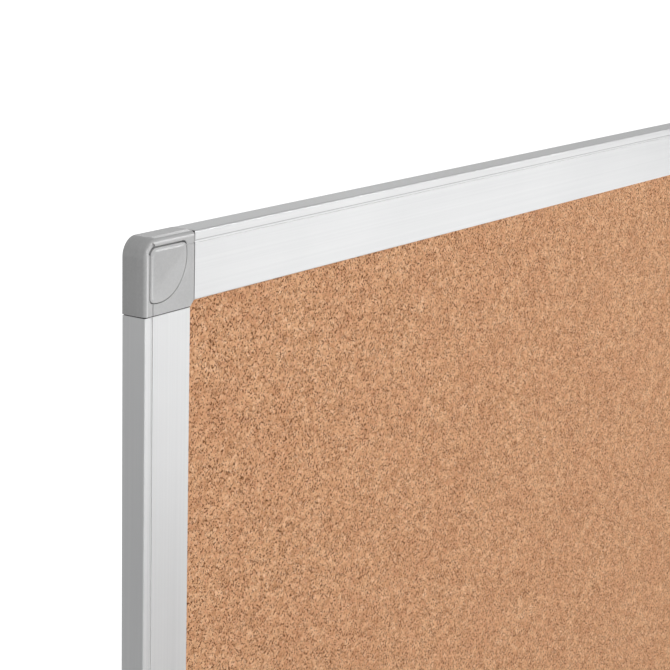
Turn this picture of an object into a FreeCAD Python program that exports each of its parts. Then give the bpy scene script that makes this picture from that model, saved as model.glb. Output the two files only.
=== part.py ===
"""Cork bulletin board in an aluminium frame with plastic corner caps and snap-in screw covers.

Millimetres. +X is right, +Z is up and the board faces -Y. The origin is the middle of the four
wall-screw holes on the back plane, which is the plane that lies against the wall.
"""

import FreeCAD, Part
import os
import re
import Sketcher
from FreeCAD import Placement, Rotation, Vector

DIMENSIONS = {
    # overall
    "board_width": 900,
    "board_height": 600,
    "board_depth": 12,
    # extruded rail
    "rail_face": 30,
    "rail_wall": 1.2,
    "rail_edge_round": 0.8,
    "rail_inner_round": 0.5,
    "rail_inset": 0.15,
    "chamber_outside": 23.5,
    "back_lip_end": 28,
    "groove_start": 4.2,
    "groove_width": 1.15,
    "groove_depth": 0.4,
    "groove_flank": 0.15,
    # corner cap, measured from its outer corner
    "cap_side": 32.4,
    "seam_gap": 0.42,
    "cap_corner_round": 8.1,
    "cap_slope_length": 4.4,
    "cap_slope_drop": 0.5,
    "cap_slope_round": 8,
    "cap_edge_round": 1.8,
    "cap_inner_chamfer": 2.4,
    "cap_wall": 2,
    "cap_floor_back": 3.8,
    "cap_line_place": 5.4,
    "cap_line_width": 0.5,
    "cap_line_depth": 0.3,
    # recess for the screw cover
    "recess_margin": 3.3,
    "recess_depth": 2.2,
    "recess_outer_round": 4.1,
    "recess_tip_round": 2.2,
    "recess_arc_centre": 9.15,
    "recess_arc_radius": 18.5,
    "recess_rim_round": 0.3,
    "notch_start": 2.3,
    "notch_end": 7.0,
    "notch_length": 5.3,
    "notch_depth": 0.85,
    # wall-screw hole and its boss
    "wall_hole_place": 12,
    "wall_hole_diameter": 5,
    "wall_head_diameter": 9.6,
    "wall_boss_diameter": 12.5,
    "rib_thickness": 1.2,
    "rib_back_gap": 1,
    # legs of the cap inside the rails
    "leg_length": 26,
    "leg_clearance": 0.2,
    "leg_wall": 2,
    "leg_boss_width": 7,
    "leg_taper": 1.5,
    # frame screws
    "frame_screw_place": 14,
    "frame_screw_diameter": 2.9,
    "frame_screw_head": 5.4,
    "frame_screw_length": 7.5,
    "frame_screw_gap": 0.05,
    "driver_slot_length": 2,
    "driver_slot_width": 0.8,
    "driver_slot_depth": 0.7,
    # screw cover
    "cover_gap": 0.3,
    "cover_setback": 0.45,
    "cover_thickness": 1.95,
    "cover_drop": 0.05,
    "cover_edge_round": 0.3,
    "tab_place_far": 22.5,
    "tab_place_near": 7.5,
    "tab_width": 4,
    "tab_thickness": 1.2,
    "tab_length": 3,
    "tab_gap": 0.3,
    # panel
    "panel_gap": 0.5,
    "cork_thickness": 2.5,
    "backing_thickness": 0.5,
}

# lengths this far apart, in mm, count as the same
TINY = 1e-6
# each corner and side of the board: its turn about Y, then its side along X and along Z
CORNERS = {
    "top_left": (0, -1, 1),
    "top_right": (90, 1, 1),
    "bottom_right": (180, 1, -1),
    "bottom_left": (270, -1, -1),
}
SIDES = {"top": (0, 0, 1), "right": (90, 1, 0), "bottom": (180, 0, -1), "left": (270, -1, 0)}
NAMES = {name: f"Dims.{name}" for name in DIMENSIONS}

document = FreeCAD.newDocument("cork_board")
sheet = document.addObject("Spreadsheet::Sheet", "Dims")


def fill_sheet():
    for row, (alias, size) in enumerate(DIMENSIONS.items(), start=1):
        sheet.set(f"A{row}", alias)
        sheet.set(f"B{row}", str(size))
        sheet.setAlias(f"B{row}", alias)
    document.recompute()


def formula(text):
    """The same expression with every dimension's name pointed at the sheet."""
    return re.sub(r"[a-z_]+", lambda word: NAMES.get(word.group(), word.group()), text)


def value(text):
    return float(sheet.evalExpression(formula(text)))


def bind(thing, prop, text):
    thing.setExpression(prop, formula(text))


# ---------------------------------------------------------------- sketches and features


def move_to(thing, x, y, z):
    """Ties an object's place to three expressions of the sheet."""
    for axis, text in zip("xyz", (x, y, z)):
        bind(thing, f"Placement.Base.{axis}", text)


def new_body(label, turn, x, z):
    """A body whose local front plane is the board's, turned about Y and moved along X and Z."""
    body = document.addObject("PartDesign::Body", label)
    body.Label = label
    body.Placement = Placement(Vector(), Rotation(Vector(0, 1, 0), turn))
    move_to(body, x, "0 - board_depth", z)
    return body


def new_sketch(body, name, plane, offset="0"):
    """A sketch on one of the body's own planes, moved along the plane's normal."""
    sketch = body.newObject("Sketcher::SketchObject", name)
    base = [part for part in body.Origin.OriginFeatures if part.Role == plane]
    sketch.AttachmentSupport = (base[0], "")
    sketch.MapMode = "FlatFace"
    bind(sketch, "AttachmentOffset.Base.z", offset)
    return sketch


def place_point(sketch, geometry, point, x, y):
    """Ties one point of a sketch to two expressions of the sheet."""
    for kind, text in (("DistanceX", x), ("DistanceY", y)):
        number = sketch.addConstraint(Sketcher.Constraint(kind, geometry, point, value(text)))
        bind(sketch, f"Constraints[{number}]", text)


def closed_outline(sketch, steps):
    """A closed chain. A step is (x, y) for a straight side that starts there, or
    (x, y, centre x, centre y, radius, "left" or "right") for an arc that starts there."""
    sides = []
    for step, after in zip(steps, steps[1:] + steps[:1]):
        start = Vector(value(step[0]), value(step[1]), 0)
        end = Vector(value(after[0]), value(after[1]), 0)
        if len(step) == 2:
            sides.append((sketch.addGeometry(Part.LineSegment(start, end)), 1, 2))
            continue
        centre = Vector(value(step[2]), value(step[3]), 0)
        turns_left = step[5] == "left"
        first, last = (start, end) if turns_left else (end, start)
        angles = [(p - centre) for p in (first, last)]
        angles = [Vector(1, 0, 0).getAngle(a) * (1 if a.y >= 0 else -1) for a in angles]
        circle = Part.Circle(centre, Vector(0, 0, 1), value(step[4]))
        geometry = sketch.addGeometry(Part.ArcOfCircle(circle, *angles))
        sides.append((geometry, 1, 2) if turns_left else (geometry, 2, 1))
    for (geometry, start, end), after in zip(sides, sides[1:] + sides[:1]):
        sketch.addConstraint(Sketcher.Constraint("Coincident", geometry, end, after[0], after[1]))
    for step, (geometry, start, end) in zip(steps, sides):
        place_point(sketch, geometry, start, step[0], step[1])
        if len(step) > 2:
            number = sketch.addConstraint(
                Sketcher.Constraint("Radius", geometry, value(step[4]))
            )
            bind(sketch, f"Constraints[{number}]", step[4])


def rectangle(sketch, left, bottom, right, top):
    closed_outline(sketch, [(left, bottom), (right, bottom), (right, top), (left, top)])


def circle(sketch, x, y, diameter):
    middle = Vector(value(x), value(y), 0)
    ring = Part.Circle(middle, Vector(0, 0, 1), value(diameter) / 2)
    geometry = sketch.addGeometry(ring)
    place_point(sketch, geometry, 3, x, y)
    size = Sketcher.Constraint("Diameter", geometry, value(diameter))
    bind(sketch, f"Constraints[{sketch.addConstraint(size)}]", diameter)


def grow(body, kind, sketch, length, reverse=False):
    """Adds a Pad or Pocket of the sketch and checks that it changed the solid."""
    before = body.Shape.Volume if body.Tip else 0.0
    feature = body.newObject(f"PartDesign::{kind}", kind)
    feature.Profile = sketch
    feature.Reversed = reverse
    bind(feature, "Length", length)
    document.recompute()
    change = body.Shape.Volume - before
    if change * (1 if kind == "Pad" else -1) < 1e-3:
        raise ValueError(f"{body.Label}: {kind} of {sketch.Name} changed nothing")
    return feature


def drill(body, sketch, diameter, depth, reverse, head=None):
    """A round hole, countersunk at 90 degrees where a head diameter is given."""
    before = body.Shape.Volume
    hole = body.newObject("PartDesign::Hole", "Hole")
    hole.Profile = sketch
    document.recompute()
    hole.Threaded = False
    hole.DepthType = "Dimension"
    hole.DrillPoint = "Flat"
    hole.Reversed = reverse
    bind(hole, "Diameter", diameter)
    bind(hole, "Depth", depth)
    if head:
        hole.HoleCutType = "Countersink"
        hole.HoleCutCustomValues = True
        hole.HoleCutCountersinkAngle = 90
        bind(hole, "HoleCutDiameter", head)
    document.recompute()
    if before - body.Shape.Volume < 1e-3:
        raise ValueError(f"{body.Label}: the hole cut nothing")


def edge_names(shape, wanted):
    return [f"Edge{i}" for i, edge in enumerate(shape.Edges, start=1) if wanted(edge)]


def soften(body, kind, wanted, size, second=None):
    """A Fillet or Chamfer on the edges that the test picks from the body's shape."""
    base = body.Tip
    feature = body.newObject(f"PartDesign::{kind}", kind)
    feature.Base = (base, edge_names(base.Shape, wanted))
    if kind == "Fillet":
        bind(feature, "Radius", size)
    else:
        bind(feature, "Size", size)
        if second:
            feature.ChamferType = "Two distances"
            bind(feature, "Size2", second)
    document.recompute()
    if "Invalid" in feature.State or not feature.Base[1]:
        raise ValueError(f"{body.Label}: {kind} failed on {feature.Base[1]}")
    return feature


# ---------------------------------------------------------------- rails


def rail_section(sketch):
    """Depth from the front along x, and distance in from the outer face along -y."""
    closed_outline(
        sketch,
        [
            ("board_depth", "0"),
            ("board_depth", "0 - back_lip_end"),
            ("board_depth - rail_wall", "0 - back_lip_end"),
            ("board_depth - rail_wall", "0 - chamber_outside"),
            ("rail_wall", "0 - chamber_outside"),
            ("rail_wall", "0 - rail_face"),
            (
                "rail_inner_round",
                "0 - rail_face",
                "rail_inner_round",
                "rail_inner_round - rail_face",
                "rail_inner_round",
                "right",
            ),
            ("0", "rail_inner_round - rail_face"),
            ("0", "0 - groove_start - groove_width"),
            ("groove_depth", "0 - groove_start - groove_width + groove_flank"),
            ("groove_depth", "0 - groove_start - groove_flank"),
            ("0", "0 - groove_start"),
            (
                "0",
                "0 - rail_edge_round",
                "rail_edge_round",
                "0 - rail_edge_round",
                "rail_edge_round",
                "right",
            ),
            ("rail_edge_round", "0"),
        ],
    )
    chamber_inside = "rail_wall - chamber_outside"
    rectangle(sketch, "rail_wall", chamber_inside, "board_depth - rail_wall", "0 - rail_wall")


def build_rail(side, length):
    """One rail. Locally it runs along X, its outer face is at Z = 0 and its front at Y = 0."""
    turn, along_x, along_z = SIDES[side]
    x = f"{along_x} * (board_width / 2 - rail_inset)"
    z = f"{along_z} * (board_height / 2 - rail_inset)"
    body = new_body(f"rail_{side}", turn, x, z)
    section = new_sketch(body, "section", "YZ_Plane")
    rail_section(section)
    pad = grow(body, "Pad", section, length)
    pad.Midplane = True
    holes = new_sketch(body, "screw_holes", "XZ_Plane", "0 - board_depth")
    hole = "frame_screw_diameter + 2 * frame_screw_gap"
    sunk = "frame_screw_head + 4 * frame_screw_gap"
    for end in ("", "0 - "):
        place = f"{end} (({length}) / 2 + seam_gap - frame_screw_place)"
        circle(holes, place, "0 - chamber_outside / 2", hole)
    drill(body, holes, hole, "rail_wall + rail_edge_round", True, sunk)
    return body


# ---------------------------------------------------------------- corner caps


def leaf_outline(sketch, inset, setback="0"):
    """The recess: a rounded square corner cut off by one big arc, shrunk by the inset and with
    its straight sides set back a little further."""
    near = f"(recess_margin + {inset} + {setback})"
    corner = f"(recess_outer_round - {inset})"
    tip = f"(recess_tip_round - {inset})"
    arc = f"(recess_arc_radius - {inset})"
    centre = "recess_arc_centre"
    # each tip's rounding touches the straight edge and the big arc from inside
    swing = f"({arc} - {tip})"
    low = f"({near} + {tip})"
    high = f"({centre} + sqrt({swing} ^ 2 - ({centre} - {low}) ^ 2))"
    join_low = f"({centre} - ({centre} - {low}) * {arc} / {swing})"
    join_high = f"({centre} + ({high} - {centre}) * {arc} / {swing})"
    closed_outline(
        sketch,
        [
            (f"{near} + {corner}", f"0 - {near}"),
            (high, f"0 - {near}", high, f"0 - {low}", tip, "right"),
            (join_high, f"0 - {join_low}", centre, f"0 - {centre}", arc, "right"),
            (join_low, f"0 - {join_high}", low, f"0 - {high}", tip, "right"),
            (near, f"0 - {high}"),
            (
                near,
                f"0 - {near} - {corner}",
                f"{near} + {corner}",
                f"0 - {near} - {corner}",
                corner,
                "right",
            ),
        ],
    )


def both_ways(sketch, left, top, right, bottom):
    """A rectangle given by distances in from the cap's two outer sides, and its mirror image
    in the cap's diagonal."""
    rectangle(sketch, left, f"0 - ({bottom})", right, f"0 - ({top})")
    rectangle(sketch, top, f"0 - ({right})", bottom, f"0 - ({left})")


def cap_block(body):
    """The square block with its rounded outer corner, cut inner corner and soft front edge."""
    outline = new_sketch(body, "outline", "XZ_Plane")
    inner = "cap_side - cap_inner_chamfer"
    closed_outline(
        outline,
        [
            ("cap_corner_round", "0"),
            ("cap_side", "0"),
            ("cap_side", f"0 - ({inner})"),
            (inner, "0 - cap_side"),
            ("0", "0 - cap_side"),
            (
                "0",
                "0 - cap_corner_round",
                "cap_corner_round",
                "0 - cap_corner_round",
                "cap_corner_round",
                "right",
            ),
        ],
    )
    grow(body, "Pad", outline, "board_depth", reverse=True)
    turn = value("cap_corner_round") + TINY

    def outer_front(edge, inset=0):
        box = edge.BoundBox
        along_side = box.XMax < inset + TINY or box.ZMin > -inset - TINY
        round_corner = box.XMax < turn and box.ZMin > -turn
        return box.YMax < TINY and (along_side or round_corner)

    def slope_front(edge):
        return outer_front(edge, value("cap_slope_drop"))

    def slope_back(edge):
        return abs(edge.BoundBox.Center.y - value("cap_slope_length")) < TINY

    soften(body, "Chamfer", outer_front, "cap_slope_length", "cap_slope_drop")
    soften(body, "Fillet", slope_back, "cap_slope_round")
    soften(body, "Fillet", slope_front, "cap_edge_round")


def cap_legs(body):
    """Two tapered legs that plug into the rails' chambers."""
    gap = "rail_wall + leg_clearance"
    low = f"rail_inset + {gap}"
    high = f"rail_inset + chamber_outside - ({gap})"
    back = f"board_depth - ({gap})"
    reach = "cap_side + leg_length"
    across = new_sketch(body, "leg_across", "YZ_Plane", "cap_side")
    rectangle(across, gap, f"0 - ({high})", back, f"0 - ({low})")
    grow(body, "Pad", across, "leg_length")
    down = new_sketch(body, "leg_down", "XY_Plane", "0 - cap_side")
    rectangle(down, low, gap, high, back)
    grow(body, "Pad", down, "leg_length", reverse=True)
    end = value(reach)

    def at_leg_end(edge):
        box = edge.BoundBox
        return box.XMin > end - TINY or box.ZMax < TINY - end

    soften(body, "Chamfer", at_leg_end, "leg_taper")
    cores = new_sketch(body, "leg_cores", "XZ_Plane", f"0 - ({back})")
    boss = "leg_boss_width / 2"
    for start, stop in (
        ("cap_side", f"cap_side + frame_screw_place - {boss}"),
        (f"cap_side + frame_screw_place + {boss}", f"{reach} - leg_wall"),
    ):
        both_ways(cores, start, f"{low} + leg_wall", stop, f"{high} - leg_wall")
    grow(body, "Pocket", cores, f"{back} - ({gap}) - leg_wall", reverse=True)
    holes = new_sketch(body, "leg_screw_holes", "XZ_Plane", f"0 - ({back})")
    hole = "frame_screw_diameter + 2 * frame_screw_gap"
    along = "cap_side + frame_screw_place"
    across_leg = "rail_inset + chamber_outside / 2"
    circle(holes, along, f"0 - ({across_leg})", hole)
    circle(holes, across_leg, f"0 - ({along})", hole)
    drill(body, holes, hole, "frame_screw_length", True)


def cap_front(body):
    """The leaf-shaped recess, the notch for a thumbnail and the short lines to the rails."""
    recess = new_sketch(body, "recess", "XZ_Plane")
    leaf_outline(recess, "0")
    grow(body, "Pocket", recess, "recess_depth")
    front = TINY
    size = value("recess_margin + recess_arc_radius + recess_arc_centre")

    def rim(edge):
        box = edge.BoundBox
        inside = box.XMin > front and box.ZMax < -front
        return box.YMax < front and inside and box.XMax < size and box.ZMin > -size

    soften(body, "Fillet", rim, "recess_rim_round")
    notch = new_sketch(body, "notch", "XY_Plane")
    notch.AttachmentOffset = Placement(Vector(), Rotation(Vector(0, 1, 0), 45))
    closed_outline(
        notch,
        [
            ("notch_start", "0"),
            ("notch_start", "0 - notch_depth"),
            ("notch_end", "0 - notch_depth"),
            ("notch_end", "notch_depth"),
        ],
    )
    cut = grow(body, "Pocket", notch, "notch_length")
    cut.Midplane = True
    lines = new_sketch(body, "lines", "XZ_Plane")
    start = "recess_arc_centre + recess_arc_radius - cap_line_width"
    half = "cap_line_width / 2"
    both_ways(
        lines, start, f"cap_line_place - {half}", "cap_side", f"cap_line_place + {half}"
    )
    grow(body, "Pocket", lines, "cap_line_depth")


def cap_back(body):
    """The hollow behind the recess, the screw boss with its ribs and the panel's corner."""
    core = new_sketch(body, "core", "XZ_Plane", "0 - board_depth")
    end = "cap_side - cap_wall"
    web = "chamber_outside - cap_wall"
    turn = "cap_corner_round"
    closed_outline(
        core,
        [
            (turn, "0 - cap_wall"),
            (end, "0 - cap_wall"),
            (end, f"0 - ({web})"),
            (web, f"0 - ({web})"),
            (web, f"0 - ({end})"),
            ("cap_wall", f"0 - ({end})"),
            ("cap_wall", f"0 - {turn}", turn, f"0 - {turn}", f"{turn} - cap_wall", "right"),
        ],
    )
    circle(core, "wall_hole_place", "0 - wall_hole_place", "wall_boss_diameter")
    grow(body, "Pocket", core, "board_depth - cap_floor_back", reverse=True)
    ribs = new_sketch(body, "ribs", "XZ_Plane", "0 - cap_floor_back")
    half = "rib_thickness / 2"
    both_ways(
        ribs,
        "wall_hole_place + wall_boss_diameter / 2 - rib_thickness",
        f"wall_hole_place - {half}",
        "cap_side - cap_wall / 2",
        f"wall_hole_place + {half}",
    )
    grow(body, "Pad", ribs, "board_depth - cap_floor_back - rib_back_gap", reverse=True)
    corner = new_sketch(body, "panel_corner", "XZ_Plane", "0 - board_depth")
    rectangle(
        corner, "chamber_outside", "0 - cap_side", "cap_side", "0 - chamber_outside"
    )
    grow(body, "Pocket", corner, "board_depth - rail_wall", reverse=True)
    hole = new_sketch(body, "wall_hole", "XZ_Plane", "0 - recess_depth")
    circle(hole, "wall_hole_place", "0 - wall_hole_place", "wall_hole_diameter")
    drill(body, hole, "wall_hole_diameter", "board_depth", False, "wall_head_diameter")
    slots = new_sketch(body, "tab_slots", "XZ_Plane", "0 - recess_depth")
    tab_rectangles(slots, "tab_gap")
    grow(body, "Pocket", slots, "cap_floor_back - recess_depth")


def corner_body(label, corner):
    turn, along_x, along_z = CORNERS[corner]
    return new_body(
        f"{label}_{corner}", turn, f"{along_x} * board_width / 2", f"{along_z} * board_height / 2"
    )


def build_cap(corner):
    body = corner_body("corner_cap", corner)
    cap_block(body)
    cap_legs(body)
    cap_front(body)
    cap_back(body)
    return body


# ---------------------------------------------------------------- screw covers


def tab_rectangles(sketch, grown):
    """The cover's two snap tabs, or with a gap added all round the slots that take them."""
    wide = f"(tab_width / 2 + {grown})"
    thick = f"(tab_thickness / 2 + {grown})"
    both_ways(
        sketch,
        f"tab_place_far - {wide}",
        f"tab_place_near - {thick}",
        f"tab_place_far + {wide}",
        f"tab_place_near + {thick}",
    )


def build_cover(corner):
    """The leaf-shaped cover, nearly flush with the cap, with two tabs on its back."""
    body = corner_body("screw_cover", corner)
    leaf = new_sketch(body, "leaf", "XZ_Plane", "0 - cover_drop")
    leaf_outline(leaf, "cover_gap", "cover_setback")
    grow(body, "Pad", leaf, "cover_thickness", reverse=True)
    front = value("cover_drop") + TINY
    soften(body, "Fillet", lambda edge: edge.BoundBox.YMax < front, "cover_edge_round")
    tabs = new_sketch(body, "tabs", "XZ_Plane", "0 - cover_drop - cover_thickness")
    tab_rectangles(tabs, "0")
    grow(body, "Pad", tabs, "tab_length", reverse=True)
    return body


# ---------------------------------------------------------------- frame screws


def build_screw(label, corner, along, across):
    """One countersunk self-tapping screw, given by its distances in from the two outer sides."""
    turn, along_x, along_z = CORNERS[corner]
    body = new_body(label, turn, "0", "0")
    offset = Rotation(Vector(0, 1, 0), turn)
    right, down = offset.multVec(Vector(1, 0, 0)), offset.multVec(Vector(0, 0, -1))
    shift_x = f"{round(right.x)} * ({along}) + {round(down.x)} * ({across})"
    shift_z = f"{round(right.z)} * ({along}) + {round(down.z)} * ({across})"
    x = f"{along_x} * board_width / 2 + {shift_x}"
    z = f"{along_z} * board_height / 2 + {shift_z}"
    move_to(body, x, "0", z)
    shape = new_sketch(body, "half_section", "XY_Plane")
    cone = "(frame_screw_head - frame_screw_diameter) / 2"
    closed_outline(
        shape,
        [
            ("0", "0 - frame_screw_gap"),
            ("frame_screw_head / 2", "0 - frame_screw_gap"),
            ("frame_screw_diameter / 2", f"0 - frame_screw_gap - {cone}"),
            ("frame_screw_diameter / 2", "frame_screw_diameter / 2 - frame_screw_length"),
            ("0", "0 - frame_screw_length"),
        ],
    )
    turned = body.newObject("PartDesign::Revolution", "Revolution")
    turned.Profile = shape
    turned.ReferenceAxis = (shape, ["V_Axis"])
    document.recompute()
    arm, half = "driver_slot_length / 2", "driver_slot_width / 2"
    for half_x, half_y in ((arm, half), (half, arm)):
        slot = new_sketch(body, "driver_slot", "XZ_Plane")
        rectangle(slot, f"0 - {half_x}", f"0 - {half_y}", half_x, half_y)
        grow(body, "Pocket", slot, "driver_slot_depth", reverse=True)
    return body


def build_screw_pair(corner):
    """The two screws of one corner, kept as one group of separate solids."""
    along = "cap_side + frame_screw_place"
    across = "rail_inset + chamber_outside / 2"
    pair = document.addObject("Part::Compound", f"frame_screws_{corner}")
    pair.Label = f"frame_screws_{corner}"
    pair.Links = [
        build_screw(f"screw_along_{corner}", corner, along, across),
        build_screw(f"screw_down_{corner}", corner, across, along),
    ]
    return pair


# ---------------------------------------------------------------- panel


def build_sheet(label, front, thickness):
    """One flat sheet of the panel, from its front's depth behind the board's front plane."""
    box = document.addObject("Part::Box", label)
    box.Label = label
    edge = "(rail_inset + chamber_outside + panel_gap)"
    bind(box, "Length", f"board_width - 2 * {edge}")
    bind(box, "Width", thickness)
    bind(box, "Height", f"board_height - 2 * {edge}")
    move_to(
        box,
        f"{edge} - board_width / 2",
        f"{front} - board_depth",
        f"{edge} - board_height / 2",
    )
    return box


def build_panel():
    core_front = "rail_wall + cork_thickness"
    core = "board_depth - 2 * rail_wall - cork_thickness - backing_thickness"
    return [
        build_sheet("cork_sheet", "rail_wall", "cork_thickness"),
        build_sheet("softboard_core", core_front, core),
        build_sheet("backing_sheet", f"{core_front} + {core}", "backing_thickness"),
    ]


# ---------------------------------------------------------------- the board


def check(parts):
    """Stops before anything is written if a feature failed or a shape is broken."""
    for thing in document.Objects:
        if {"Invalid", "Error"} & set(thing.State):
            raise ValueError(f"{thing.Label} of {thing.TypeId} is {thing.State}")
    for part in parts:
        if part.Shape.isNull() or not part.Shape.isValid():
            raise ValueError(f"{part.Label} has no valid shape")


def write_parts(parts):
    os.makedirs("parts", exist_ok=True)
    for part in parts:
        part.Shape.exportStep(f"parts/{part.Label}.step")
        print(f"{part.Label:32} {len(part.Shape.Solids)} solid(s) {part.Shape.Volume:12.1f} mm3")


fill_sheet()
parts = build_panel()
for side in SIDES:
    whole = "board_width" if side in ("top", "bottom") else "board_height"
    parts.append(build_rail(side, f"{whole} - 2 * (cap_side + seam_gap)"))
for corner in CORNERS:
    parts.append(build_cap(corner))
    parts.append(build_cover(corner))
    parts.append(build_screw_pair(corner))
document.recompute()
check(parts)
write_parts(parts)
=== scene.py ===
"""Looks of the cork bulletin board: an aluminium frame, grey plastic corners, cork and backing."""

import math

import bmesh
import bpy
from mathutils import Matrix, Vector


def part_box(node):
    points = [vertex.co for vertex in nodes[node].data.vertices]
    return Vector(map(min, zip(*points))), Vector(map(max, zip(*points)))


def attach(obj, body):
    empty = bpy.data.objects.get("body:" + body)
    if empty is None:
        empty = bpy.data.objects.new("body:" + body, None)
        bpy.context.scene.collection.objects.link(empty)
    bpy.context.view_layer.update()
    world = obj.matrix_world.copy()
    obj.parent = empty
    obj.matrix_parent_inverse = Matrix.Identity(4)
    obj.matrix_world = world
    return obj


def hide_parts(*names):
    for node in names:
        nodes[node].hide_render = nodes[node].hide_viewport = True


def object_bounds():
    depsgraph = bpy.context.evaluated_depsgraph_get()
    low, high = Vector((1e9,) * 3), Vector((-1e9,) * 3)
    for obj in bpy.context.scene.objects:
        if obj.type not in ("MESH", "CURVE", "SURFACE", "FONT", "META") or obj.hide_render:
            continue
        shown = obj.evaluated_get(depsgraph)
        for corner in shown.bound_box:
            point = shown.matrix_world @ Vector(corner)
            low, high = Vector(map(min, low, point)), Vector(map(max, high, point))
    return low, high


MM = 0.001
# each corner's turn about Y in degrees, then its side along X and along Z
CORNERS = {
    "top_left": (0, (-1, 1)),
    "top_right": (90, (1, 1)),
    "bottom_right": (180, (1, -1)),
    "bottom_left": (270, (-1, -1)),
}

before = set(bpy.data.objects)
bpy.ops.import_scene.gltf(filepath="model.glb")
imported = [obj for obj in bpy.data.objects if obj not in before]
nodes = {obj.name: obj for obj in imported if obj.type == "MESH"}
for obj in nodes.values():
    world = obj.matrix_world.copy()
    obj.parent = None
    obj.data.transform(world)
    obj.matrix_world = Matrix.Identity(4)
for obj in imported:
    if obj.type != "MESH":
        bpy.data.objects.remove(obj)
cad_low, cad_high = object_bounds()

# places that the looks need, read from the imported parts
rail_low, rail_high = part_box("rail_top")
RAIL_FACE = rail_high.z - rail_low.z
CORNER = Vector((cad_low.x, cad_low.y, cad_high.z))


# ---------------------------------------------------------------- node helpers


class Material:
    """A material and its node tree, with short ways to add and join nodes."""

    def __init__(self, name):
        self.material = bpy.data.materials.new(name)
        self.material.use_nodes = True
        self.tree = self.material.node_tree
        self.shader = self.tree.nodes["Principled BSDF"]
        self.position = self.new("ShaderNodeTexCoord").outputs["Object"]

    def new(self, kind, **settings):
        node = self.tree.nodes.new(kind)
        for name, value in settings.items():
            setattr(node, name, value)
        return node

    def axis(self, name):
        """One coordinate of the surface point, in metres."""
        split = self.new("ShaderNodeSeparateXYZ")
        self.join(self.position, split.inputs[0])
        return split.outputs[name]

    def join(self, source, target):
        self.tree.links.new(source, target)

    def put(self, value, target):
        """Joins a socket to an input, or sets the input to a plain number, vector or colour."""
        if isinstance(value, bpy.types.NodeSocket):
            self.join(value, target)
        elif target.type == "RGBA":
            target.default_value = (*value, 1.0)
        else:
            target.default_value = value

    def feed(self, node, **sockets):
        """Puts values in a node's inputs; a name's _ stands for a space."""
        for name, value in sockets.items():
            self.put(value, node.inputs[name.replace("_", " ")])

    def set(self, **sockets):
        """Puts values in the shader's inputs."""
        self.feed(self.shader, **sockets)

    def scaled(self, x=1.0, y=1.0, z=1.0, turn=(0.0, 0.0, 0.0)):
        """The position stretched along the axes, for grain that runs one way."""
        mapping = self.new("ShaderNodeMapping")
        self.feed(mapping, Vector=self.position, Scale=(x, y, z), Rotation=turn)
        return mapping.outputs["Vector"]

    def noise(self, scale, detail=2.0, rough=0.5, where=None):
        node = self.new("ShaderNodeTexNoise")
        place = where or self.position
        self.feed(node, Vector=place, Scale=scale, Detail=detail, Roughness=rough)
        return node.outputs["Fac"]

    def cell_edge(self, scale, where):
        """How far a point is from the edge of its cell, in cells."""
        node = self.new("ShaderNodeTexVoronoi", feature="DISTANCE_TO_EDGE")
        self.feed(node, Vector=where, Scale=scale)
        return node.outputs["Distance"]

    def math(self, operation, first, second=0.0):
        node = self.new("ShaderNodeMath", operation=operation)
        self.put(first, node.inputs[0])
        self.put(second, node.inputs[1])
        return node.outputs[0]

    def spread(self, value, low, high, new_low=0.0, new_high=1.0):
        """Maps low..high to new_low..new_high, and holds the ends."""
        node = self.new("ShaderNodeMapRange")
        self.feed(
            node,
            Value=value,
            **{"From Min": low, "From Max": high, "To Min": new_low, "To Max": new_high},
        )
        return node.outputs["Result"]

    def ramp(self, value, *stops):
        """A colour from a value. Each stop is (place, (red, green, blue))."""
        node = self.new("ShaderNodeValToRGB")
        self.join(value, node.inputs["Fac"])
        ends = node.color_ramp.elements
        while len(ends) < len(stops):
            ends.new(0.5)
        for element, (place, colour) in zip(ends, stops):
            element.position = place
            element.color = (*colour, 1.0)
        return node.outputs["Color"]

    def mix(self, amount, first, second):
        """A mix of two colours; amount is how much there is of the second."""
        node = self.new("ShaderNodeMix", data_type="RGBA")
        self.put(amount, node.inputs[0])
        self.put(first, node.inputs[6])
        self.put(second, node.inputs[7])
        return node.outputs[2]

    def bump(self, height, distance, strength=1.0, under=None):
        node = self.new("ShaderNodeBump")
        self.feed(node, Height=height, Distance=distance, Strength=strength)
        if under:
            self.feed(node, Normal=under)
        return node.outputs["Normal"]


def grey(level):
    return (level, level, level)


# ---------------------------------------------------------------- materials

# cork granules and the crumbs between them, in cells per metre
CORK_GRAIN = 400.0
CORK_CRUMB = 900.0


def cork_wobble(m):
    """The position shaken a little, so that the granules' outlines aren't straight."""
    shift = m.new("ShaderNodeTexNoise")
    m.feed(shift, Vector=m.position, Scale=620.0, Detail=2.0)
    small = m.new("ShaderNodeVectorMath", operation="SCALE")
    m.join(shift.outputs["Color"], small.inputs[0])
    m.feed(small, Scale=2.2 * MM)
    wobble = m.new("ShaderNodeVectorMath", operation="ADD")
    m.join(m.position, wobble.inputs[0])
    m.join(small.outputs[0], wobble.inputs[1])
    return wobble.outputs[0]


def cell_tint(m, scale, where):
    """Random numbers from 0 to 1, three for each cell."""
    cell = m.new("ShaderNodeTexVoronoi")
    m.feed(cell, Vector=where, Scale=scale)
    tint = m.new("ShaderNodeSeparateColor")
    m.join(cell.outputs["Color"], tint.inputs[0])
    return tint.outputs


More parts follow.
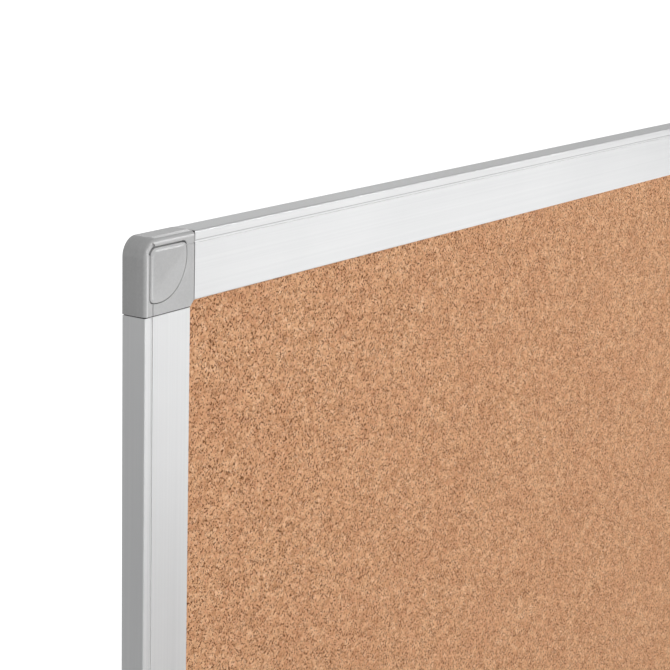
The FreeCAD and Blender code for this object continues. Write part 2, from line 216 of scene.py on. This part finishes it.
def cork_granules(m, where):
    """The granules' colours: tans and crumbs, with grit, rosy ones and darker patches."""
    coarse, fine = cell_tint(m, CORK_GRAIN, where), cell_tint(m, CORK_CRUMB, where)
    tan = m.ramp(
        coarse["Red"],
        (0.0, (0.56, 0.28, 0.14)),
        (0.3, (0.70, 0.38, 0.20)),
        (0.7, (0.81, 0.465, 0.26)),
        (1.0, (0.92, 0.59, 0.36)),
    )
    crumb = m.ramp(
        fine["Red"],
        (0.0, (0.47, 0.21, 0.088)),
        (0.35, (0.71, 0.38, 0.19)),
        (0.8, (0.88, 0.53, 0.31)),
        (1.0, (0.98, 0.70, 0.48)),
    )
    tan = m.mix(0.45, tan, crumb)
    grit = m.spread(m.noise(1300.0, 2.0, 0.6), 0.35, 0.65, 0.3, 0.0)
    tan = m.mix(grit, tan, (0.42, 0.205, 0.105))
    rosy = m.spread(fine["Blue"], 0.7, 1.0, 0.0, 0.35)
    tan = m.mix(rosy, tan, (0.70, 0.31, 0.185))
    patches = m.spread(m.noise(38.0, 3.0, 0.55), 0.38, 0.7, 0.0, 0.3)
    return m.mix(patches, tan, (0.60, 0.28, 0.145))


def cork_flecks(m):
    """Bark specks: short slanting flecks, thicker in some places than in others."""
    crowd = m.spread(m.noise(170.0, 2.0, 0.5), 0.35, 0.65, -0.024, 0.024)
    sets = []
    for angle, stretch in ((0.6, 1.35), (-0.7, 1.2)):
        slant = m.scaled(turn=(0.0, angle, 0.0))
        drawn = m.new("ShaderNodeMapping")
        m.feed(drawn, Vector=slant, Scale=(stretch, 1.0, 1.0), Location=(angle, 0.0, 0.0))
        grain = m.noise(740.0, 1.7, 0.57, where=drawn.outputs["Vector"])
        sets.append(m.spread(m.math("ADD", grain, crowd), 0.59, 0.628))
    return m.math("MAXIMUM", *sets)


def cork_material():
    """Pressed cork granules: each its own tan, with dark bark specks and lines between them."""
    m = Material("cork")
    where = cork_wobble(m)
    tan = cork_granules(m, where)
    edge = m.cell_edge(CORK_GRAIN, where)
    thin = m.spread(edge, 0.03, 0.10, 1.0, 0.0)
    broken = m.spread(m.noise(300.0, 2.0, 0.5), 0.5, 0.6)
    gap = m.math("MULTIPLY", m.math("MULTIPLY", thin, broken), 0.4)
    dark = m.math("MAXIMUM", cork_flecks(m), gap)
    bark = m.ramp(
        m.noise(1100.0, 1.0),
        (0.35, (0.09, 0.029, 0.008)),
        (0.65, (0.23, 0.087, 0.029)),
    )
    domes = m.spread(edge, 0.0, 0.25, 0.4, 1.0)
    dust_and_groove_shade = m.spread(m.noise(2600.0, 3.0, 0.6), 0.3, 0.7, 0.7, 1.0)
    height = m.math("MULTIPLY", domes, dust_and_groove_shade)
    height = m.math("SUBTRACT", height, m.math("MULTIPLY", dark, 0.6))
    m.set(Base_Color=m.mix(dark, tan, bark), Roughness=0.85, Specular_IOR_Level=0.15)
    m.set(Normal=m.bump(height, 0.3 * MM, 0.9))
    return m.material


def along_edge(m, axis):
    """How far a point is in from the board's edge on the X or Z axis, in metres."""
    reach = cad_high.x if axis == "X" else cad_high.z
    return m.math("SUBTRACT", reach, m.math("ABSOLUTE", m.axis(axis)))


# painted lines of shade and highlight in the front of the frame, in mm in from the board's edge:
# where each starts, is full, begins to fade and ends
# painted shadow in the rail groove's outer flank
GROOVE_SHADOW_LINE = (4.0, 4.3, 4.55, 4.75)
# painted highlight on the rail groove's inner edge
GROOVE_HIGHLIGHT_LINE = (5.05, 5.2, 5.5, 5.7)
# painted highlight where a cap's rounded rim runs out into its front
RIM_HIGHLIGHT_LINE = (1.3, 1.7, 2.0, 2.5)
# where the painted lines on the rails and on the caps begin to fade and end behind the front, in mm
RAIL_FRONT = (0.8, 1.2)
CAP_FRONT = (0.3, 0.9)


def line_mask(m, inward, line, front):
    """1 on a line in the front of the frame, and 0 elsewhere."""
    start, full, fade, end = (place * MM for place in line)
    rising = m.spread(inward, start, full)
    falling = m.spread(inward, fade, end, 1.0, 0.0)
    back = m.math("SUBTRACT", m.axis("Y"), cad_low.y)
    near = m.spread(back, front[0] * MM, front[1] * MM, 1.0, 0.0)
    return m.math("MULTIPLY", m.math("MULTIPLY", rising, falling), near)


def aluminium_material(name, along):
    """Natural anodised aluminium with faint extrusion lines along the rail, on X or Z.

    A painted shadow darkens the groove's outer flank, and a painted highlight brightens its inner
    edge.
    """
    m = Material(name)
    stretch = {"X": (4.0, 900.0, 900.0), "Z": (900.0, 900.0, 4.0)}[along]
    lines = m.noise(1.0, 4.0, 0.6, where=m.scaled(*stretch))
    cloud = m.noise(14.0, 3.0, 0.5)
    shade = m.ramp(
        m.math("ADD", m.math("MULTIPLY", lines, 0.6), m.math("MULTIPLY", cloud, 0.4)),
        (0.3, (0.80, 0.805, 0.81)),
        (0.7, (0.88, 0.883, 0.885)),
    )
    inward = along_edge(m, "Z" if along == "X" else "X")
    # painted shadow: a dark line in the groove's outer flank
    dust_and_groove_shade = line_mask(m, inward, GROOVE_SHADOW_LINE, RAIL_FRONT)
    shade = m.mix(m.math("MULTIPLY", dust_and_groove_shade, 0.6), shade, grey(0.3))
    # painted highlight: a bright line on the groove's inner edge
    groove_highlight = line_mask(m, inward, GROOVE_HIGHLIGHT_LINE, RAIL_FRONT)
    shade = m.mix(m.math("MULTIPLY", groove_highlight, 0.8), shade, grey(0.98))
    m.set(Base_Color=shade, Metallic=1.0, Roughness=m.spread(lines, 0.3, 0.7, 0.40, 0.48))
    grain = m.bump(m.noise(5200.0, 2.0, 0.5), 0.01 * MM, 0.25)
    m.set(Normal=m.bump(lines, 0.01 * MM, 0.3, under=grain))
    return m.material


def painted_rim_highlight(m):
    """1 along the line where a cap's rounded rim runs out into its front, and 0 elsewhere: the mask
    of a painted highlight.
    """
    inward = m.math("MINIMUM", along_edge(m, "X"), along_edge(m, "Z"))
    return line_mask(m, inward, RIM_HIGHLIGHT_LINE, CAP_FRONT)


def plastic_material(name, level, rough, rim_highlight=False):
    """Grey moulded plastic with a fine grain, a cloudy shade and, if asked, a painted highlight
    along the rim.
    """
    m = Material(name)
    cloud = m.noise(60.0, 4.0, 0.55)
    speckle = m.noise(900.0, 3.0, 0.6)
    shade = m.math("ADD", m.math("MULTIPLY", cloud, 0.5), m.math("MULTIPLY", speckle, 0.5))
    colour = m.ramp(shade, (0.36, grey(level * 0.94)), (0.64, grey(level * 1.06)))
    if rim_highlight:
        # painted highlight: the rim line is lightened to stand for a glint
        colour = m.mix(m.math("MULTIPLY", painted_rim_highlight(m), 0.5), colour, grey(level * 1.75))
    fine = m.noise(2600.0, 2.0, 0.5)
    m.set(Base_Color=colour, Roughness=m.spread(fine, 0.3, 0.7, rough - 0.05, rough + 0.07))
    m.set(Normal=m.bump(fine, 0.02 * MM, 0.3), Coat_Weight=0.8, Coat_Roughness=0.1)
    return m.material


def board_material(name, dark, light, fibre):
    """Pressed fibre: short, crossing strands of two close shades."""
    m = Material(name)
    strands = m.noise(1.0, 5.0, 0.65, where=m.scaled(fibre, fibre, fibre * 3.5))
    specks = m.spread(m.noise(fibre * 2.2, 2.0, 0.5), 0.4, 0.75, 0.0, 0.5)
    colour = m.mix(specks, m.ramp(strands, (0.35, dark), (0.65, light)), dark)
    m.set(Base_Color=colour, Roughness=0.9, Normal=m.bump(strands, 0.08 * MM, 0.5))
    return m.material


def steel_material():
    """Zinc-plated screw steel, a little blotchy."""
    m = Material("screw_steel")
    cloud = m.noise(900.0, 3.0, 0.5)
    colour = m.ramp(cloud, (0.3, (0.55, 0.55, 0.52)), (0.7, (0.68, 0.68, 0.67)))
    m.set(Base_Color=colour, Metallic=1.0, Roughness=m.spread(cloud, 0.3, 0.7, 0.25, 0.42))
    return m.material


def dress(node, material):
    """Gives a CAD node its material."""
    thing = nodes[node]
    thing.data.materials.clear()
    thing.data.materials.append(material)


# ---------------------------------------------------------------- mesh helpers


def skin(mesh, rings):
    """Faces from each ring of corners to the next, and one across each end."""
    for ring, after in zip(rings, rings[1:]):
        for i in range(len(ring)):
            k = (i + 1) % len(ring)
            mesh.faces.new((ring[i], ring[k], after[k], after[i]))
    mesh.faces.new(rings[-1])
    mesh.faces.new(list(reversed(rings[0])))


def add_piece(name, mesh, material):
    """Puts a finished mesh into the scene as an object with one material."""
    data = bpy.data.meshes.new(name)
    mesh.to_mesh(data)
    mesh.free()
    data.materials.append(material)
    piece = bpy.data.objects.new(name, data)
    bpy.context.scene.collection.objects.link(piece)
    return piece


# ---------------------------------------------------------------- screw covers

# the leaf outline in mm, from the cap's outer corner: in from one side, in from the other
LEAF_MARGIN = 4.05
LEAF_CORNER = 3.8
LEAF_TIP = 1.9
LEAF_CENTRE = 9.15
LEAF_RADIUS = 18.2
BEVEL_WIDTH = 1.7
BEVEL_DROP = 0.3
EDGE_ROUND = 0.18
# the rings across the bevel, as shares of its width
BEVEL_RINGS = (0.3, 0.45, 0.6, 0.75, 0.88, 1.0)
# how many steps there are in the leaf's corner, sides, tips, long arc and rounded edge
CORNER_STEPS = 18
SIDE_STEPS = 12
TIP_STEPS = 10
ARC_STEPS = 48
ROUND_STEPS = 4
# edges that turn by more than this many degrees stay sharp
SHARP_TURN = 35.0
# its two tabs, in mm; TAB_SINK is how far they reach into the leaf
TAB_FAR, TAB_NEAR = 22.5, 7.5
TAB_WIDTH, TAB_THICK, TAB_LENGTH = 4.0, 1.2, 3.0
TAB_SINK = 0.2
TAB_ROUND = 0.18
# the width of a tab's end, as a share of its root's
TAB_TAPER = 0.82


def arc_points(centre, radius, start, end, steps):
    """Points on an arc from one angle to another, in degrees, each with its outward way."""
    for step in range(steps + 1):
        angle = math.radians(start + (end - start) * step / steps)
        way = Vector((math.cos(angle), math.sin(angle)))
        yield Vector(centre) + way * radius, way


def leaf_rim():
    """Points round the leaf with their outward ways, and how far each is on the bevelled sides."""
    low = LEAF_MARGIN + LEAF_TIP
    swing = LEAF_RADIUS - LEAF_TIP
    high = LEAF_CENTRE + math.sqrt(swing**2 - (LEAF_CENTRE - low) ** 2)
    tilt = math.degrees(math.asin((LEAF_CENTRE - low) / swing))
    round_at = LEAF_MARGIN + LEAF_CORNER
    corner = arc_points((round_at, round_at), LEAF_CORNER, 180, 270, CORNER_STEPS)
    rim = [(*point, 1.0) for point in corner]
    for step in range(1, SIDE_STEPS):
        x = round_at + (high - round_at) * step / SIDE_STEPS
        rim.append((Vector((x, LEAF_MARGIN)), Vector((0.0, -1.0)), 1.0))
    tip = arc_points((high, low), LEAF_TIP, 270, 360 - tilt, TIP_STEPS)
    rim += [(*point, 1.0 - i / TIP_STEPS) for i, point in enumerate(tip)]
    centre = (LEAF_CENTRE, LEAF_CENTRE)
    back = list(arc_points(centre, LEAF_RADIUS, -tilt, 90 + tilt, ARC_STEPS))
    rim += [(*point, 0.0) for point in back[1:-1]]
    tip = arc_points((low, high), LEAF_TIP, 90 + tilt, 180, TIP_STEPS)
    rim += [(*point, i / TIP_STEPS) for i, point in enumerate(tip)]
    for step in range(1, SIDE_STEPS):
        z = high + (round_at - high) * step / SIDE_STEPS
        rim.append((Vector((LEAF_MARGIN, z)), Vector((-1.0, 0.0)), 1.0))
    return rim


def leaf_profile(thick):
    """Places from the leaf's back to its face: each is how far down and how far in from the rim."""
    profile = [(thick, 0.0)]
    for step in range(ROUND_STEPS + 1):
        angle = math.radians(90.0 * step / ROUND_STEPS)
        down, inset = 1 - math.sin(angle), 1 - math.cos(angle)
        profile.append((EDGE_ROUND * down, EDGE_ROUND * inset))
    return profile + [(0.0, BEVEL_WIDTH * share) for share in BEVEL_RINGS]


def add_leaf(mesh, thick):
    """The leaf itself, with its face at Y 0 and the cap's outer corner at the origin."""
    rim = leaf_rim()
    rings = []
    for down, inset in leaf_profile(thick):
        fall = 1.0 - min(inset / BEVEL_WIDTH, 1.0)
        bevel = BEVEL_DROP * (1 - (1 - fall) ** 4) * fall**0.5 if down < thick else 0.0
        ring = []
        for place, way, share in rim:
            point = place - way * inset
            ring.append(mesh.verts.new((point.x, down + bevel * share, -point.y)))
        rings.append(ring)
    skin(mesh, rings)


def add_tab(mesh, place, size, thick):
    """A tapered tab with soft edges on the leaf's back."""
    made = bmesh.ops.create_cube(mesh, size=1.0)["verts"]
    for vert in made:
        taper = TAB_TAPER if vert.co.y > 0 else 1.0
        x = place[0] + vert.co.x * size[0] * taper
        y = thick - TAB_SINK + (vert.co.y + 0.5) * (TAB_LENGTH + TAB_SINK)
        z = -place[1] + vert.co.z * size[1] * taper
        vert.co = (x, y, z)
    edges = {edge for vert in made for edge in vert.link_edges}
    bmesh.ops.bevel(mesh, geom=list(edges), offset=TAB_ROUND, segments=2, affect="EDGES")


def cover_piece(corner, turn, sides, material):
    """A screw cover: a thin leaf with a soft bevel on its two straight sides, and two tabs."""
    low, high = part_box(f"screw_cover_{corner}")
    thick = (high.y - low.y) / MM - TAB_LENGTH
    mesh = bmesh.new()
    add_leaf(mesh, thick)
    add_tab(mesh, (TAB_FAR, TAB_NEAR), (TAB_WIDTH, TAB_THICK), thick)
    add_tab(mesh, (TAB_NEAR, TAB_FAR), (TAB_THICK, TAB_WIDTH), thick)
    bmesh.ops.recalc_face_normals(mesh, faces=mesh.faces)
    place = Vector((sides[0] * cad_high.x, low.y, sides[1] * cad_high.z))
    spin = Matrix.Rotation(math.radians(turn), 4, "Y")
    mesh.transform(Matrix.Translation(place) @ spin @ Matrix.Scale(MM, 4))
    piece = add_piece(f"cover_{corner}", mesh, material)
    for face in piece.data.polygons:
        face.use_smooth = True
    piece.data.set_sharp_from_angle(angle=math.radians(SHARP_TURN))
    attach(piece, f"cover_{corner}")
    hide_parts(f"screw_cover_{corner}")


# ---------------------------------------------------------------- shadow liners in the joints

# the gap that the CAD leaves in a joint, in mm
SEAM = 0.42
# a shadow liner, a near-black piece that stands for the shade in a joint, in mm: how far it stays
# inside the faces, its width, its cut corners, how far its back stops short of the rail's inner
# edge, and the gap that it leaves to the parts beside it
SHADOW_LINER_INSET = 0.18
SHADOW_LINER_WIDTH = 0.8
SHADOW_LINER_CUT = 0.6
SHADOW_LINER_SHORT = 3.0
SHADOW_LINER_GAP = 0.03


def shadow_liner_piece(name, rail, axis, side, material):
    """A near-black liner in the joint between a rail's end and its corner cap: painted shade, a
    dark piece standing for the shadow in the gap.

    It is a thin U that follows the rail's back, outer edge and front, just under their faces.
    axis is the rail's own way, 0 for X and 2 for Z, and side says which end and which edge.
    """
    low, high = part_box(rail)
    outside, inside = SHADOW_LINER_INSET, SHADOW_LINER_INSET + SHADOW_LINER_WIDTH
    deep, wide = (high.y - low.y) / MM, RAIL_FACE / MM
    path = [
        (wide - outside, outside),
        (outside + SHADOW_LINER_CUT, outside),
        (outside, outside + SHADOW_LINER_CUT),
        (outside, deep - outside - SHADOW_LINER_CUT),
        (outside + SHADOW_LINER_CUT, deep - outside),
        (wide - SHADOW_LINER_SHORT, deep - outside),
        (wide - SHADOW_LINER_SHORT, deep - inside),
        (inside, deep - inside),
        (inside, inside),
        (wide - outside, inside),
    ]
    end = high[axis] if side[axis] > 0 else low[axis]
    outward = 2 - axis
    edge = high[outward] if side[outward] > 0 else low[outward]
    mesh = bmesh.new()
    rings = []
    for along in (SHADOW_LINER_GAP, SEAM - SHADOW_LINER_GAP):
        ring = []
        for inward, back in path:
            point = Vector((0.0, low.y + back * MM, 0.0))
            point[axis] = end + side[axis] * along * MM
            point[outward] = edge - side[outward] * inward * MM
            ring.append(mesh.verts.new(point))
        rings.append(ring)
    skin(mesh, rings)
    bmesh.ops.recalc_face_normals(mesh, faces=mesh.faces)
    piece = add_piece(name, mesh, material)
    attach(piece, "frame")


# ---------------------------------------------------------------- stage

# the share of light that the floor gives back
FLOOR_SHADE = 0.62
# light levels, where a white wall that just fills the picture's range is 1
FLOOR_LIFT = 0.9
WALL_LIGHT = 0.66
ROOM_LIGHT = 0.42
# the rise at which the wall begins to give way to the room, and where it ends, in degrees
WALL_FADE, WALL_TOP = 14.0, 20.0
# the floor's half width and how far it lies below the board, in metres
FLOOR_REACH = 60.0
FLOOR_DROP = 0.5 * MM
# each softbox's turn, rise, distance, width, height and level, as softbox() takes them
SOFTBOXES = {
    "key": (-95.0, 20.0, 3.0, 1.6, 1.2, 7.2),
    "right": (-25.0, -8.0, 1.8, 0.8, 0.66, 0.15),
    "left": (146.0, -5.0, 1.8, 0.9, 0.6, 0.25),
    "top_rim": (-40.0, 8.0, 1.8, 0.5, 0.2, 6.5),
    "side_rim": (-68.0, -10.0, 1.8, 0.16, 0.45, 6.0),
    "strip": (36.0, 18.0, 2.6, 0.8, 0.06, 2.6),
}
# a glowing card that lies just above the floor, in metres
CARD_PLACE = (2.3, -1.0)
CARD_SIZE = (3.0, 2.6)
CARD_LIFT = 5.0 * MM
CARD_LEVEL = 0.85
# the camera's angles in degrees, its lens and sensor in mm, and its way from the board's corner
# in widths of the rail's face
CAMERA_YAW, CAMERA_PITCH, CAMERA_ROLL = 55.98, 13.69, 1.72
CAMERA_LENS, CAMERA_SENSOR = 100.64, 36.0
CAMERA_WAY = Vector((-19.224, -16.132, 4.847))


def build_floor():
    """A large pale floor under the board's lower edge."""
    mesh = bpy.data.meshes.new("floor")
    ways = ((-1, -1), (1, -1), (1, 1), (-1, 1))
    corners = [(x * FLOOR_REACH, y * FLOOR_REACH, 0.0) for x, y in ways]
    mesh.from_pydata(corners, [], [(0, 1, 2, 3)])
    floor = bpy.data.objects.new("floor", mesh)
    floor.location.z = cad_low.z - FLOOR_DROP
    bpy.context.scene.collection.objects.link(floor)
    m = Material("floor")
    seen = m.new("ShaderNodeLightPath").outputs["Is Camera Ray"]
    m.set(Base_Color=grey(FLOOR_SHADE), Roughness=0.9, Specular_IOR_Level=0.0)
    m.set(Emission_Color=grey(1.0), Emission_Strength=m.math("MULTIPLY", seen, FLOOR_LIFT))
    mesh.materials.append(m.material)


def build_world():
    """White to the eye. As light it is a pale wall that ends in a dimmer room above."""
    world = bpy.data.worlds.new("surround")
    world.use_nodes = True
    tree = world.node_tree
    backdrop = tree.nodes["Background"]
    backdrop.inputs["Color"].default_value = (1.0, 1.0, 1.0, 1.0)
    direction = tree.nodes.new("ShaderNodeTexCoord").outputs["Generated"]
    height = tree.nodes.new("ShaderNodeSeparateXYZ")
    tree.links.new(direction, height.inputs[0])
    wall = tree.nodes.new("ShaderNodeMapRange")
    tree.links.new(height.outputs["Z"], wall.inputs["Value"])
    for name, number in (
        ("From Min", math.sin(math.radians(WALL_FADE))),
        ("From Max", math.sin(math.radians(WALL_TOP))),
        ("To Min", WALL_LIGHT),
        ("To Max", ROOM_LIGHT),
    ):
        wall.inputs[name].default_value = number
    path = tree.nodes.new("ShaderNodeLightPath")
    mix = tree.nodes.new("ShaderNodeMix")
    mix.data_type = "FLOAT"
    tree.links.new(path.outputs["Is Camera Ray"], mix.inputs[0])
    tree.links.new(wall.outputs["Result"], mix.inputs[2])
    mix.inputs[3].default_value = 1.0
    tree.links.new(mix.outputs[0], backdrop.inputs["Strength"])
    bpy.context.scene.world = world


def softbox(name, turn, rise, distance, width, height, level):
    """A rectangular light aimed at the board's upper left corner.

    Its place is a compass turn from +X towards +Y and a rise above the level, in degrees, and
    its level is how bright it looks next to a white wall at 1.
    """
    turn, rise = math.radians(turn), math.radians(rise)
    outward = Vector(
        (math.cos(turn) * math.cos(rise), math.sin(turn) * math.cos(rise), math.sin(rise))
    )
    light = bpy.data.lights.new(name, "AREA")
    light.shape = "RECTANGLE"
    light.size, light.size_y = width, height
    light.energy = level * math.pi * width * height
    lamp = bpy.data.objects.new(name, light)
    lamp.location = CORNER + outward * distance
    lamp.rotation_euler = outward.to_track_quat("Z", "Y").to_euler()
    lamp.visible_camera = False
    bpy.context.scene.collection.objects.link(lamp)
    return lamp


def build_lights():
    """The softboxes, and the card, which is laid on the floor to shine upwards."""
    for name, settings in SOFTBOXES.items():
        softbox(name, *settings)
    card = softbox("card", 0.0, 0.0, 1.0, *CARD_SIZE, CARD_LEVEL)
    card.location = (*CARD_PLACE, cad_low.z + CARD_LIFT)
    card.rotation_euler = (math.pi, 0.0, 0.0)


def build_camera():
    """The camera stands left of the board and a little above its upper left corner."""
    yaw, pitch, roll = (math.radians(a) for a in (CAMERA_YAW, CAMERA_PITCH, CAMERA_ROLL))
    ahead = Vector(
        (math.sin(yaw) * math.cos(pitch), math.cos(yaw) * math.cos(pitch), -math.sin(pitch))
    )
    right = Vector((math.cos(yaw), -math.sin(yaw), 0.0))
    up = right.cross(ahead)
    side = right * math.cos(roll) + up * math.sin(roll)
    top = up * math.cos(roll) - right * math.sin(roll)
    data = bpy.data.cameras.new("camera")
    data.sensor_width = CAMERA_SENSOR
    data.lens = CAMERA_LENS
    data.clip_start, data.clip_end = 0.05, 200.0
    camera = bpy.data.objects.new("camera", data)
    turned = Matrix((side, top, -ahead)).transposed().to_4x4()
    camera.matrix_world = Matrix.Translation(CORNER + RAIL_FACE * CAMERA_WAY) @ turned
    bpy.context.scene.collection.objects.link(camera)
    bpy.context.scene.camera = camera


# ---------------------------------------------------------------- the scene

bpy.context.scene.view_settings.view_transform = "Standard"
build_world()
build_floor()
build_lights()
build_camera()

cork = cork_material()
softboard = board_material("softboard", (0.36, 0.25, 0.15), (0.52, 0.39, 0.26), 300.0)
backing = board_material("backing", grey(0.16), grey(0.24), 260.0)
rail_across = aluminium_material("aluminium_across", "X")
rail_upright = aluminium_material("aluminium_upright", "Z")
cap_plastic = plastic_material("cap_plastic", 0.44, 0.38, rim_highlight=True)
cover_plastic = plastic_material("cover_plastic", 0.455, 0.42)
# painted shade: a near-black plastic for the shadow liners in the joints
shadow_liner = plastic_material("shadow_liner", 0.02, 0.6)
steel = steel_material()

dress("cork_sheet", cork)
dress("softboard_core", softboard)
dress("backing_sheet", backing)
for rail in ("top", "bottom"):
    dress(f"rail_{rail}", rail_across)
for rail in ("left", "right"):
    dress(f"rail_{rail}", rail_upright)
for corner, (turn, sides) in CORNERS.items():
    dress(f"corner_cap_{corner}", cap_plastic)
    cover_piece(corner, turn, sides, cover_plastic)
    dress(f"frame_screws_{corner}", steel)
    side = Vector((sides[0], 0, sides[1]))
    across, upright = corner.split("_")
    # a near-black shadow liner in each joint, standing for the shade in the gap
    for rail, axis in ((across, 0), (upright, 2)):
        shadow_liner_piece(f"joint_shadow_liner_{corner}_{rail}", f"rail_{rail}", axis, side, shadow_liner)
